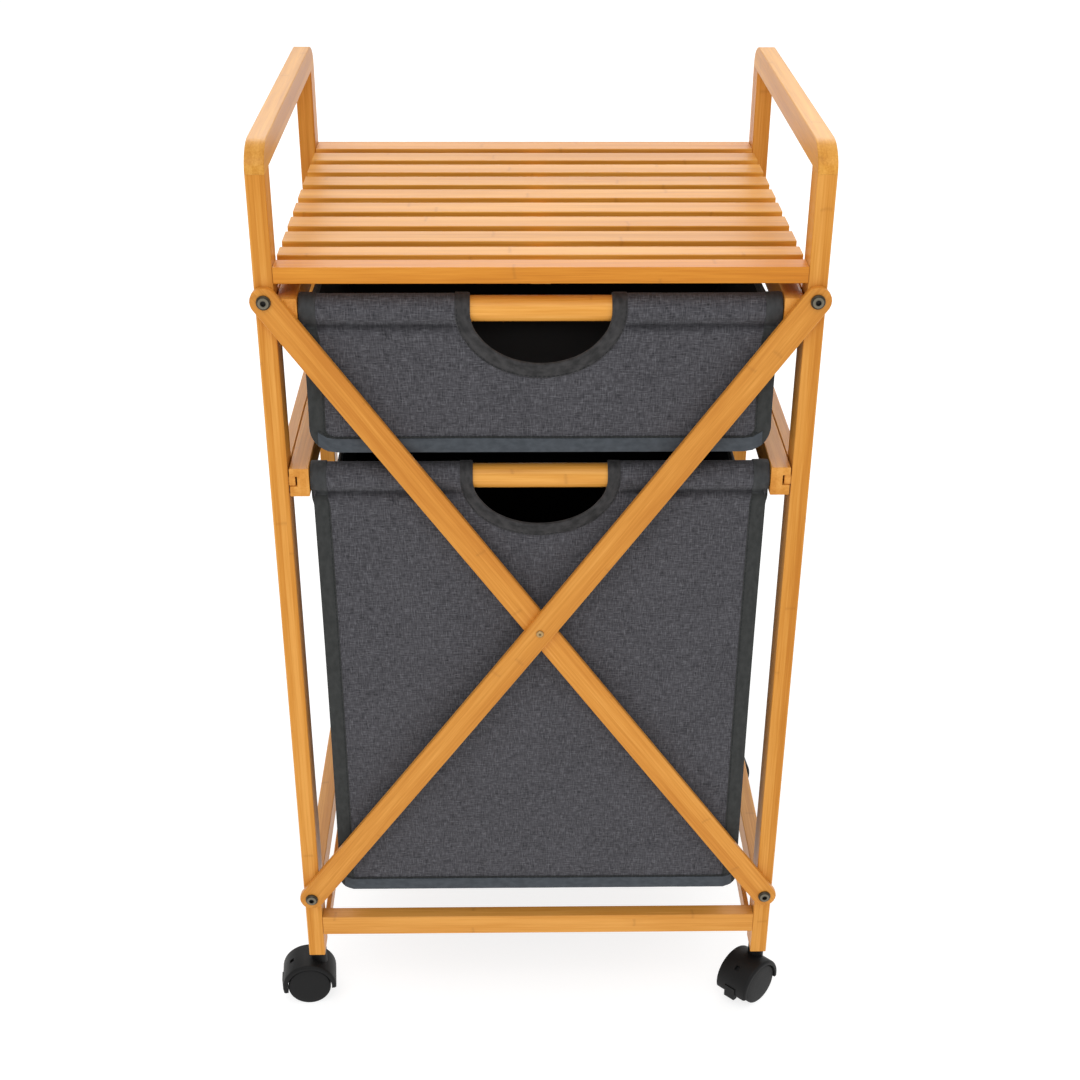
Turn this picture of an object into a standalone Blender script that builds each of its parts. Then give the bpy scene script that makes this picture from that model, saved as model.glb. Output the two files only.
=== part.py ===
"""Bamboo laundry sorter on wheels: a two-tier frame with a slatted shelf and two pull-out fabric bags.

Metres, +Z up, +X to the right. The frame stands on its casters with the floor at z = 0, and the origin
is on the floor under the middle of the frame. The braced side of the frame faces -Y, and the two
drawers pull out towards +Y. Pieces that touch keep a gap of TOUCH to each other, or HAIRLINE where a
handle caps its legs. Wooden bars have their long edges taken off by EASE.
"""

import math

import bmesh
import bpy
from mathutils import Matrix, Vector

TOUCH = 0.0003
HAIRLINE = 0.0001
OVERCUT = 0.002
EASE = 0.0006

# Whole frame
WIDTH = 0.440
DEPTH = 0.388
HEIGHT = 0.8205
LEG_WIDTH = 0.015
LEG_DEPTH = 0.0275
LEG_BASE_Z = 0.0572
INNER_X = WIDTH / 2 - LEG_WIDTH
LEG_X = WIDTH / 2 - LEG_WIDTH / 2
LEG_Y = DEPTH / 2 - LEG_DEPTH / 2
BAY_Y = DEPTH / 2 - LEG_DEPTH

# Handle bars, which cap each pair of legs
HANDLE_HEIGHT = 0.021
HANDLE_END_LENGTH = 0.030
HANDLE_END_RISE = 0.020
HANDLE_END_STEPS = 8

# Slatted shelf
SHELF_TOP = 0.7297
SHELF_RAIL_HEIGHT = 0.0127
SHELF_FRONT_RAIL_DEPTH = 0.020
SHELF_REAR_RAIL_DEPTH = 0.028
SLAT_COUNT = 8
SLAT_PITCH = 0.0417
SLAT_DEPTH = 0.028
FRONT_SLAT_DEPTH = 0.022
SLAT_THICKNESS = 0.008
FIRST_SLAT_REAR_Y = 0.1514
SUPPORT_WIDTH = 0.0165
SUPPORT_HEIGHT = 0.011

# Bottom rails and lower side members
BOTTOM_RAIL_TOP = 0.1026
BOTTOM_RAIL_HEIGHT = 0.0205
BOTTOM_RAIL_DEPTH = 0.015
STRETCHER_LOW_Z = 0.1115
STRETCHER_HEIGHT = 0.024
BATTEN_THICKNESS = 0.0045
BATTEN_HEIGHT = 0.016
BATTEN_LOW_Z = 0.076

# Drawers: two grooved rails, two dowels and a hanging bag each
DRAWER_LEVELS = {"upper": 0.6931, "lower": 0.5518}
BAG_FLOORS = {"upper": 0.5770, "lower": 0.1345}
DRAWER_RAIL_OUTER_X = 0.2040
DRAWER_RAIL_WIDTH = 0.0158
DRAWER_RAIL_HEIGHT = 0.0242
GROOVE_DEPTH = 0.0062
GROOVE_HEIGHT = 0.0088
GROOVE_RISE = 0.0009
DOWEL_RADIUS = 0.010
DOWEL_Y = 0.180
TENON_RADIUS = 0.006
TENON_LENGTH = 0.007
DOWEL_SIDES = 24

# Runner rails, whose tongue carries the drawer
RUNNER_HEIGHT = 0.024
RUNNER_WIDTH = 0.0095
RUNNER_STAND_IN = 0.0006
TONGUE_REACH = 0.0055
TONGUE_HEIGHT = 0.0080
TONGUE_SET_BACK = 0.0012

# Bags
BAG_HALF_WIDTH = 0.1862
BAG_HALF_DEPTH = 0.1909
BAG_RISE = 0.002
BAG_WALL = 0.002
SIDE_INSET = 0.0005
SLEEVE_STEPS = 22
SLEEVE_RADIUS = 0.0113
SLEEVE_BORE = 0.0104
CUTOUT_HALF_WIDTH = 0.056
CUTOUT_DROP = 0.042
CUTOUT_STEPS = 20
SIDE_DIPS = {"upper": 0.008, "lower": 0.060}
SIDE_DIP_HALF = 0.1660
SIDE_DIP_STEPS = 12

# Crossed flat braces
BRACE_TOP_Z = 0.7045
BRACE_LOW_Z = 0.1295
BRACE_WIDTH = 0.022
BRACE_THICKNESS = 0.0060
BRACE_STATIONS = 14
BRACE_END_STEPS = 6
BOLT_HEAD_RADIUS = 0.0058
BOLT_HEAD_HEIGHT = 0.0032
BOLT_SHANK_RADIUS = 0.0030
BOLT_HOLE_RADIUS = 0.0034
BOLT_DEPTH_IN_LEG = 0.020
BOLT_SOCKET_RADIUS = 0.0023
BOLT_SOCKET_DEPTH = 0.0020
SCREW_HEAD_RADIUS = 0.0032
SCREW_HEAD_HEIGHT = 0.0014
SCREW_SHANK_RADIUS = 0.0015
SCREW_HOLE_RADIUS = 0.0019

# Twin-wheel casters. Angles turn the caster about its stem; at 0 the axle runs along Y
CASTER_ANGLES = {
    "front_left": 5.0,
    "front_right": 44.0,
    "rear_right": 185.0,
    "rear_left": 224.0,
}
CASTER_TRAIL = 0.0108
WHEEL_RADIUS = 0.0205
WHEEL_INNER = 0.0048
WHEEL_OUTER = 0.0172
WHEEL_EDGE = 0.0014
AXLE_RADIUS = 0.0028
AXLE_BORE = 0.0029
WHEEL_SIDES = 40
HOOD_RADIUS = 0.0258
HOOD_INNER_RADIUS = 0.0215
HOOD_HALF_WIDTH = 0.0180
HOOD_ROUNDING = 0.0026
HOOD_ROUNDING_STEPS = 4
HOOD_WEB_HALF = 0.0042
HOOD_STEM_SIDE_ANGLE = -5.0
HOOD_TAIL_ANGLE = 193.0
HOOD_ARC_STEPS = 28
HOOD_SLOT_ANGLE = 129.0
HOOD_SLOT_SIZE = (0.0050, 0.0046)
HOOD_SLOT_DEPTH = 0.0028
STEM_BOSS_RADIUS = 0.0075
STEM_BOSS_TOP = 0.0550
COLLAR_RADIUS = 0.0062
STEM_RADIUS = 0.0040
STEM_BORE = 0.0044
STEM_DEPTH_IN_LEG = 0.026
PIVOT_RADIUS = 0.0030
PIVOT_BORE = 0.0031
PIVOT_LOW_Z = 0.0405
LEVER_HALF_WIDTH = 0.0060
LEVER_NEAR = 0.0219
LEVER_FAR = 0.0266
LEVER_LOW_Z = 0.0098
LEVER_TOP_Z = 0.0225
LEVER_HINGE = 0.0238
NOTCH_NEAR = 0.0204
NOTCH_CLEARANCE = 0.0005


def clear_scene():
    for obj in list(bpy.data.objects):
        bpy.data.objects.remove(obj)


def principled(name, colour, roughness, metallic=0.0):
    material = bpy.data.materials.new(name)
    material.use_nodes = True
    shader = material.node_tree.nodes["Principled BSDF"]
    shader.inputs["Base Color"].default_value = (*colour, 1.0)
    shader.inputs["Roughness"].default_value = roughness
    shader.inputs["Metallic"].default_value = metallic
    return material


def mesh_object(name, points, faces, material=None):
    mesh = bpy.data.meshes.new(name)
    mesh.from_pydata([tuple(p) for p in points], [], faces)
    mesh.validate()
    work = bmesh.new()
    work.from_mesh(mesh)
    bmesh.ops.recalc_face_normals(work, faces=work.faces)
    work.to_mesh(mesh)
    work.free()
    if material:
        mesh.materials.append(material)
    obj = bpy.data.objects.new(name, mesh)
    bpy.context.scene.collection.objects.link(obj)
    return obj


def box(name, low, high, material=None):
    """A bar with the given lowest and highest corners."""
    corners = [(x, y, z) for x in (low[0], high[0]) for y in (low[1], high[1]) for z in (low[2], high[2])]
    faces = [(0, 1, 3, 2), (4, 6, 7, 5), (0, 4, 5, 1), (2, 3, 7, 6), (0, 2, 6, 4), (1, 5, 7, 3)]
    return mesh_object(name, corners, faces, material)


def loft(name, sections, axis, material=None):
    """Skin over (position, outline) sections along axis 0, 1 or 2; an outline's pairs fill the other two axes."""
    points = []
    for position, outline in sections:
        for pair in outline:
            point = list(pair)
            point.insert(axis, position)
            points.append(point)
    count = len(sections[0][1])
    last = count * (len(sections) - 1)
    faces = [tuple(range(count)), tuple(range(last + count - 1, last - 1, -1))]
    for first in range(0, last, count):
        for i in range(count):
            j = (i + 1) % count
            faces.append((first + i, first + j, first + count + j, first + count + i))
    return mesh_object(name, points, faces, material)


def prism(name, outline, axis, start, end, material=None):
    """An outline of pairs extruded along axis 0, 1 or 2; the pairs fill the other two axes in order."""
    return loft(name, [(start, outline), (end, outline)], axis, material)


def eased(outline, corners=None):
    """The outline with the picked corners, or all of them, cut off EASE away on both sides."""
    result = []
    for i, corner in enumerate(outline):
        if corners is not None and i not in corners:
            result.append(corner)
            continue
        for neighbour in (outline[i - 1], outline[(i + 1) % len(outline)]):
            share = EASE / math.dist(corner, neighbour)
            result.append(tuple(c + (n - c) * share for c, n in zip(corner, neighbour)))
    return result


def bar(name, low, high, axis, material=None):
    """A wooden bar between two corners whose long edges, along the given axis, are eased."""
    u, v = [i for i in range(3) if i != axis]
    outline = [(low[u], low[v]), (high[u], low[v]), (high[u], high[v]), (low[u], high[v])]
    return prism(name, eased(outline), axis, low[axis], high[axis], material)


def arc(centre, radius, start, end, steps):
    """Points on an arc, angles in degrees."""
    angles = [math.radians(start + (end - start) * i / steps) for i in range(steps + 1)]
    return [(centre[0] + radius * math.cos(a), centre[1] + radius * math.sin(a)) for a in angles]


def lathe(name, profile, centre, axis, sides, material=None):
    """A turned piece: profile pairs are (distance along axis, radius), from one end's middle to the other's."""
    axis = Vector(axis).normalized()
    across = axis.orthogonal().normalized()
    up = axis.cross(across)
    points = []
    rings = []
    for along, radius in profile:
        middle = Vector(centre) + axis * along
        if radius == 0:
            rings.append([len(points)])
            points.append(middle)
            continue
        rings.append(list(range(len(points), len(points) + sides)))
        for i in range(sides):
            angle = 2 * math.pi * i / sides
            points.append(middle + across * radius * math.cos(angle) + up * radius * math.sin(angle))
    faces = []
    for first, second in zip(rings, rings[1:]):
        for i in range(sides):
            j = (i + 1) % sides
            corners = [first[i % len(first)], first[j % len(first)], second[j % len(second)], second[i % len(second)]]
            faces.append(tuple(dict.fromkeys(corners)))
    return mesh_object(name, points, faces, material)


def rod(name, centre, axis, low, high, radius, sides=16, material=None):
    return lathe(name, [(low, 0), (low, radius), (high, radius), (high, 0)], centre, axis, sides, material)


def boolean(obj, others, operation):
    """Applies an exact Boolean with each of the others, which are then deleted."""
    for other in others:
        modifier = obj.modifiers.new(operation.lower(), "BOOLEAN")
        modifier.operation = operation
        modifier.solver = "EXACT"
        modifier.object = other
        graph = bpy.context.evaluated_depsgraph_get()
        mesh = bpy.data.meshes.new_from_object(obj.evaluated_get(graph))
        obj.modifiers.clear()
        materials = [m for m in obj.data.materials]
        obj.data = mesh
        obj.data.materials.clear()
        for material in materials:
            obj.data.materials.append(material)
        bpy.data.objects.remove(other)
    return obj


def cut(obj, *cutters):
    return boolean(obj, cutters, "DIFFERENCE")


def join(obj, *others):
    return boolean(obj, others, "UNION")


def smooth(obj, angle=40.0):
    obj.data.shade_smooth()
    obj.data.set_sharp_from_angle(angle=math.radians(angle))
    return obj


def turn_about(obj, centre, degrees):
    """Turns an object's mesh about the vertical through centre, and puts the object's origin at centre."""
    centre = Vector(centre)
    obj.data.transform(Matrix.Translation(-centre))
    obj.data.transform(Matrix.Rotation(math.radians(degrees), 4, "Z"))
    obj.location = centre
    return obj


def set_origin(obj, point):
    """Moves a still unturned object's origin to a point, leaving its shape where it is."""
    obj.data.transform(Matrix.Translation(obj.location - Vector(point)))
    obj.location = point
    return obj


def side_sign(side):
    return -1.0 if "left" in side else 1.0


def end_sign(place):
    return -1.0 if "front" in place else 1.0


def leg_position(corner):
    return side_sign(corner) * LEG_X, end_sign(corner) * LEG_Y


def make_legs(bamboo):
    """Four square-cut legs, bored below for the caster stems and, in front, for the brace bolts."""
    for corner in CASTER_ANGLES:
        x, y = leg_position(corner)
        low = (x - LEG_WIDTH / 2, y - LEG_DEPTH / 2, LEG_BASE_Z)
        high = (x + LEG_WIDTH / 2, y + LEG_DEPTH / 2, HEIGHT - HANDLE_HEIGHT - HAIRLINE)
        leg = bar(f"leg_{corner}", low, high, 2, bamboo)
        stem_reach = STEM_DEPTH_IN_LEG + TOUCH
        cutters = [rod("stem_bore", (x, y, LEG_BASE_Z), (0, 0, 1), -OVERCUT, stem_reach, STEM_BORE)]
        if "front" in corner:
            for z in (BRACE_TOP_Z, BRACE_LOW_Z):
                front = (x, -DEPTH / 2, z)
                depth = BOLT_DEPTH_IN_LEG + TOUCH
                cutters.append(rod("bolt_bore", front, (0, 1, 0), -OVERCUT, depth, BOLT_HOLE_RADIUS))
        cut(leg, *cutters)


def handle_outline(inset):
    """A handle bar from the side, drawn in by inset everywhere but along its flat underside."""
    middle_y = DEPTH / 2 - HANDLE_END_LENGTH
    middle_z = HEIGHT - HANDLE_END_RISE
    low_z = HEIGHT - HANDLE_HEIGHT
    quarter = []
    for i in range(HANDLE_END_STEPS + 1):
        angle = math.pi / 2 * i / HANDLE_END_STEPS
        y = middle_y + (HANDLE_END_LENGTH - inset) * math.cos(angle)
        quarter.append((y, middle_z + (HANDLE_END_RISE - inset) * math.sin(angle)))
    reach = DEPTH / 2 - inset
    return [(-reach, low_z), (reach, low_z), *quarter] + [(-y, z) for y, z in reversed(quarter)]


def make_handles(bamboo):
    """A bar over each pair of legs, rounded at its two upper ends and eased along its upper edges."""
    half = LEG_WIDTH / 2
    for side in ("left", "right"):
        x = side_sign(side) * LEG_X
        sections = [(x - half, EASE), (x - half + EASE, 0.0), (x + half - EASE, 0.0), (x + half, EASE)]
        outlines = [(position, handle_outline(inset)) for position, inset in sections]
        smooth(loft(f"handle_{side}", outlines, 0, bamboo))


def make_shelf(bamboo):
    """Front and rear rails, slats between them, and three supports from front to back underneath."""
    half = INNER_X - TOUCH
    low_z = SHELF_TOP - SHELF_RAIL_HEIGHT
    front_y = -DEPTH / 2
    rear_y = DEPTH / 2
    bar("shelf_front_rail", (-half, front_y, low_z), (half, front_y + SHELF_FRONT_RAIL_DEPTH, SHELF_TOP), 0, bamboo)
    bar("shelf_rear_rail", (-half, rear_y - SHELF_REAR_RAIL_DEPTH, low_z), (half, rear_y, SHELF_TOP), 0, bamboo)
    for i in range(SLAT_COUNT):
        depth = FRONT_SLAT_DEPTH if i == SLAT_COUNT - 1 else SLAT_DEPTH
        y = FIRST_SLAT_REAR_Y - i * SLAT_PITCH
        low = (-half, y - depth, SHELF_TOP - SLAT_THICKNESS)
        bar(f"shelf_slat_{SLAT_COUNT - i}", low, (half, y, SHELF_TOP), 0, bamboo)
    support_top = SHELF_TOP - SLAT_THICKNESS - TOUCH
    centres = {"left": -half + SUPPORT_WIDTH / 2, "middle": 0.0, "right": half - SUPPORT_WIDTH / 2}
    for place, x in centres.items():
        low = (x - SUPPORT_WIDTH / 2, front_y + SHELF_FRONT_RAIL_DEPTH + TOUCH, support_top - SUPPORT_HEIGHT)
        high = (x + SUPPORT_WIDTH / 2, rear_y - SHELF_REAR_RAIL_DEPTH - TOUCH, support_top)
        bar(f"shelf_support_{place}", low, high, 1, bamboo)


def make_bottom(bamboo):
    """Cross rails at the foot of the frame, side stretchers between the legs and thin battens inside them."""
    half = INNER_X - TOUCH
    low_z = BOTTOM_RAIL_TOP - BOTTOM_RAIL_HEIGHT
    for place in ("front", "rear"):
        middle = end_sign(place) * (DEPTH / 2 - BOTTOM_RAIL_DEPTH / 2)
        low = (-half, middle - BOTTOM_RAIL_DEPTH / 2, low_z)
        high = (half, middle + BOTTOM_RAIL_DEPTH / 2, BOTTOM_RAIL_TOP)
        bar(f"bottom_rail_{place}", low, high, 0, bamboo)
    bay = BAY_Y - TOUCH
    batten_half = DEPTH / 2 - BOTTOM_RAIL_DEPTH - TOUCH
    for side in ("left", "right"):
        x = side_sign(side) * LEG_X
        low = (x - LEG_WIDTH / 2, -bay, STRETCHER_LOW_Z)
        high = (x + LEG_WIDTH / 2, bay, STRETCHER_LOW_Z + STRETCHER_HEIGHT)
        bar(f"side_stretcher_{side}", low, high, 1, bamboo)
        x = side_sign(side) * (half - BATTEN_THICKNESS / 2)
        low = (x - BATTEN_THICKNESS / 2, -batten_half, BATTEN_LOW_Z)
        high = (x + BATTEN_THICKNESS / 2, batten_half, BATTEN_LOW_Z + BATTEN_HEIGHT)
        bar(f"lower_batten_{side}", low, high, 1, bamboo)


def make_runners(bamboo):
    """A rail between the front and rear leg beside each drawer, with a full-depth tongue in the drawer's groove."""
    tongue_half = DEPTH / 2 - TONGUE_SET_BACK
    for level, z in DRAWER_LEVELS.items():
        tongue_z = z + GROOVE_RISE
        for side in ("left", "right"):
            sign = side_sign(side)
            inner = INNER_X - RUNNER_STAND_IN
            xs = sorted((sign * inner, sign * (inner + RUNNER_WIDTH)))
            low = (xs[0], -BAY_Y + TOUCH, z - RUNNER_HEIGHT / 2)
            high = (xs[1], BAY_Y - TOUCH, z + RUNNER_HEIGHT / 2)
            runner = bar(f"runner_{level}_{side}", low, high, 1, bamboo)
            xs = sorted((sign * (INNER_X - TONGUE_REACH), sign * (INNER_X - TOUCH)))
            low = (xs[0], -tongue_half, tongue_z - TONGUE_HEIGHT / 2)
            high = (xs[1], tongue_half, tongue_z + TONGUE_HEIGHT / 2)
            join(runner, bar("tongue", low, high, 1))


def make_drawer_rails(level, z, bamboo):
    """Left and right rails, grooved outside for the runner's tongue and bored inside for the dowels."""
    half_height = DRAWER_RAIL_HEIGHT / 2
    outer = DRAWER_RAIL_OUTER_X
    inner = outer - DRAWER_RAIL_WIDTH
    groove_low = z + GROOVE_RISE - GROOVE_HEIGHT / 2
    groove_top = z + GROOVE_RISE + GROOVE_HEIGHT / 2
    outline = [(inner, z - half_height), (outer, z - half_height), (outer, groove_low)]
    outline += [(outer - GROOVE_DEPTH, groove_low), (outer - GROOVE_DEPTH, groove_top), (outer, groove_top)]
    outline += [(outer, z + half_height), (inner, z + half_height)]
    for side in ("left", "right"):
        sign = side_sign(side)
        mirrored = [(sign * x, height) for x, height in eased(outline, (0, 1, 6, 7))]
        rail = prism(f"{level}_drawer_rail_{side}", mirrored, 1, -DEPTH / 2, DEPTH / 2, bamboo)
        bores = []
        for y in (-DOWEL_Y, DOWEL_Y):
            face = (sign * inner, y, z)
            reach = TENON_LENGTH + TOUCH
            bores.append(rod("dowel_bore", face, (sign, 0, 0), -OVERCUT, reach, TENON_RADIUS + TOUCH, DOWEL_SIDES))
        cut(rail, *bores)


def make_dowels(level, z, bamboo):
    """Round bars that join the drawer rails and carry the bag; each end is turned down to a tenon."""
    body = DRAWER_RAIL_OUTER_X - DRAWER_RAIL_WIDTH - TOUCH
    tip = body + TENON_LENGTH
    profile = [(-tip, 0), (-tip, TENON_RADIUS), (-body, TENON_RADIUS), (-body, DOWEL_RADIUS)]
    profile += [(body, DOWEL_RADIUS), (body, TENON_RADIUS), (tip, TENON_RADIUS), (tip, 0)]
    for place in ("front", "rear"):
        centre = (0, end_sign(place) * DOWEL_Y, z)
        smooth(lathe(f"{level}_drawer_dowel_{place}", profile, centre, (1, 0, 0), DOWEL_SIDES, bamboo))


def bag_section(z, floor_z):
    """The bag seen from the side: a floor and two upright walls, each rolled over into a solid round sleeve."""
    inner_y = BAG_HALF_DEPTH - BAG_WALL
    meets_outer = 180 + math.degrees(math.acos((BAG_HALF_DEPTH - DOWEL_Y) / SLEEVE_RADIUS))
    meets_inner = math.degrees(math.acos((inner_y - DOWEL_Y) / SLEEVE_RADIUS)) - 180
    sleeve = arc((-DOWEL_Y, z), SLEEVE_RADIUS, meets_outer, meets_inner, SLEEVE_STEPS)
    front = [(-BAG_HALF_DEPTH, floor_z), *sleeve, (-inner_y, floor_z + BAG_WALL)]
    return front + [(-y, height) for y, height in reversed(front)]


def side_outline(z, floor_z, dip):
    """A bag's side panel, whose upper edge sags between the dowels to dip below the panel's corners."""
    side_y = BAG_HALF_DEPTH - SIDE_INSET
    top = z + BAG_RISE
    outline = [(-side_y, floor_z + SIDE_INSET), (side_y, floor_z + SIDE_INSET), (side_y, top)]
    for i in range(SIDE_DIP_STEPS + 1):
        share = 1 - 2 * i / SIDE_DIP_STEPS
        outline.append((share * SIDE_DIP_HALF, top - dip * (1 - share * share)))
    return outline + [(-side_y, top)]


def make_bag(level, z, floor_z, fabric):
    """An open-topped bag that hangs from sleeves round both dowels, with a hand cut-out front and rear."""
    half_x = BAG_HALF_WIDTH
    bag = prism(f"{level}_bag", bag_section(z, floor_z), 0, -half_x, half_x, fabric)
    outline = side_outline(z, floor_z, SIDE_DIPS[level])
    for sign in (-1, 1):
        near, far = sorted((sign * (half_x - SIDE_INSET - BAG_WALL), sign * (half_x - SIDE_INSET)))
        join(bag, prism("side", outline, 0, near, far))
    reach = half_x + OVERCUT
    for y in (-DOWEL_Y, DOWEL_Y):
        cut(bag, rod("sleeve_bore", (0, y, z), (1, 0, 0), -reach, reach, SLEEVE_BORE, DOWEL_SIDES))
    angles = [math.pi * i / CUTOUT_STEPS for i in range(CUTOUT_STEPS + 1)]
    outline = [(CUTOUT_HALF_WIDTH * math.cos(a), z - CUTOUT_DROP * math.sin(a)) for a in angles]
    outline += [(-CUTOUT_HALF_WIDTH, z + 0.02), (CUTOUT_HALF_WIDTH, z + 0.02)]
    for y in (-DOWEL_Y, DOWEL_Y):
        cut(bag, prism("hand_cutout", outline, 1, y - 0.03, y + 0.03))
    smooth(bag)


def make_drawers(bamboo, fabric):
    for level, z in DRAWER_LEVELS.items():
        make_drawer_rails(level, z, bamboo)
        make_dowels(level, z, bamboo)
        make_bag(level, z, BAG_FLOORS[level], fabric)


def brace_stations(half_length):
    """Pairs of (place along the bar, half width), from one round end past its bolt to the other."""
    radius = BRACE_WIDTH / 2
    angles = [math.radians(90.0 * (i + 0.5) / BRACE_END_STEPS) for i in range(BRACE_END_STEPS)]
    rounded = [(half_length + radius * math.cos(a), radius * math.sin(a)) for a in angles]
    places = [half_length * (2 * i / BRACE_STATIONS - 1) for i in range(BRACE_STATIONS + 1)]
    mirrored = [(-place, half_width) for place, half_width in rounded]
    return mirrored + [(place, radius) for place in places] + rounded[::-1]


def make_brace(name, low_side, back_y, bow, bamboo):
    """A flat bar from a bolt low on low_side to one high on the other side, bowed forward by bow at its middle."""
    start = Vector((side_sign(low_side) * LEG_X, 0, BRACE_LOW_Z))
    end = Vector((-side_sign(low_side) * LEG_X, 0, BRACE_TOP_Z))
    middle = (start + end) / 2
    along = (end - start).normalized()
    across = along.cross(Vector((0, 1, 0)))
    half_length = (end - start).length / 2
    points = []
    for place, half_width in brace_stations(half_length):
        share = min(1.0, abs(place) / half_length)
        back = back_y - bow * math.cos(share * math.pi / 2)
        front = back - BRACE_THICKNESS
        ring = [(-half_width, back), (half_width, back), (half_width, front), (-half_width, front)]
        for offset, y in eased(ring):
            point = middle + along * place + across * offset
            points.append((point.x, y, point.z))
    last = len(points) - 8
    faces = [tuple(range(8)), tuple(range(last, last + 8))]
    for first in range(0, last, 8):
        faces += [(first + i, first + (i + 1) % 8, first + 8 + (i + 1) % 8, first + 8 + i) for i in range(8)]
    bar = mesh_object(name, points, faces, bamboo)
    holes = []
    for bolt in (start, end):
        holes.append(rod("bolt_hole", (bolt.x, back_y, bolt.z), (0, 1, 0), -0.02, 0.01, BOLT_HOLE_RADIUS))
    holes.append(rod("screw_hole", (0, back_y, middle.z), (0, 1, 0), -0.03, 0.01, SCREW_HOLE_RADIUS))
    return cut(bar, *holes)


def make_braces(bamboo, steel):
    """Two crossed bars on the legs' front faces. The front one bows over the other where they cross."""
    back_y = -DEPTH / 2 - TOUCH
    bow = BRACE_THICKNESS + TOUCH
    make_brace("brace_back", "right", back_y, 0.0, bamboo)
    make_brace("brace_front", "left", back_y, bow, bamboo)
    head_y = back_y - BRACE_THICKNESS - TOUCH
    for side in ("left", "right"):
        for place, z in (("upper", BRACE_TOP_Z), ("lower", BRACE_LOW_Z)):
            make_bolt(f"brace_bolt_{place}_{side}", (side_sign(side) * LEG_X, head_y, z), steel)
    middle_z = (BRACE_TOP_Z + BRACE_LOW_Z) / 2
    screw_y = head_y - bow
    reach = 2 * BRACE_THICKNESS
    profile = [(-SCREW_HEAD_HEIGHT, 0), (-SCREW_HEAD_HEIGHT, 0.7 * SCREW_HEAD_RADIUS)]
    profile += [(-SCREW_HEAD_HEIGHT / 2, SCREW_HEAD_RADIUS), (0, SCREW_HEAD_RADIUS)]
    profile += [(0, SCREW_SHANK_RADIUS), (reach, SCREW_SHANK_RADIUS), (reach, 0)]
    smooth(lathe("brace_screw", profile, (0, screw_y, middle_z), (0, 1, 0), 16, steel))


def make_bolt(name, seat, steel):
    """A button-head bolt along Y with a hexagonal socket; seat is the middle of the head's underside."""
    crown = BOLT_HEAD_HEIGHT
    profile = [(-crown, 0), (-crown, 0.50 * BOLT_HEAD_RADIUS), (-0.85 * crown, 0.78 * BOLT_HEAD_RADIUS)]
    profile += [(-0.45 * crown, 0.97 * BOLT_HEAD_RADIUS), (0, BOLT_HEAD_RADIUS), (0, BOLT_SHANK_RADIUS)]
    reach = BRACE_THICKNESS + BOLT_DEPTH_IN_LEG
    profile += [(reach, BOLT_SHANK_RADIUS), (reach, 0)]
    bolt = lathe(name, profile, seat, (0, 1, 0), 20, steel)
    socket = rod("socket", seat, (0, 1, 0), -crown - OVERCUT, BOLT_SOCKET_DEPTH - crown, BOLT_SOCKET_RADIUS, 6)
    smooth(cut(bolt, socket))


def make_wheel_pair(corner, axle, plastic):
    """Two wheels on one axle. Each has a smooth outer face that is slightly domed and rounds into its tread."""
    face = [(0.0, 0.0), (0.0, 0.55), (0.0002, 0.80)]
    half = [(WHEEL_OUTER - drop, share * WHEEL_RADIUS) for drop, share in face]
    corner_x = WHEEL_OUTER - 0.0004 - WHEEL_EDGE
    half += arc((corner_x, WHEEL_RADIUS - WHEEL_EDGE), WHEEL_EDGE, 0, 90, 4)
    half += [(WHEEL_INNER + WHEEL_EDGE, WHEEL_RADIUS), (WHEEL_INNER, WHEEL_RADIUS - WHEEL_EDGE)]
    half += [(WHEEL_INNER, AXLE_RADIUS)]
    profile = [(-along, radius) for along, radius in half]
    profile += half[::-1]
    return smooth(lathe(f"wheels_{corner}", profile, axle, (0, 1, 0), WHEEL_SIDES, plastic))


def hood_outline(centre, radius):
    return arc(centre, radius, HOOD_STEM_SIDE_ANGLE, HOOD_TAIL_ANGLE, HOOD_ARC_STEPS)


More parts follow.
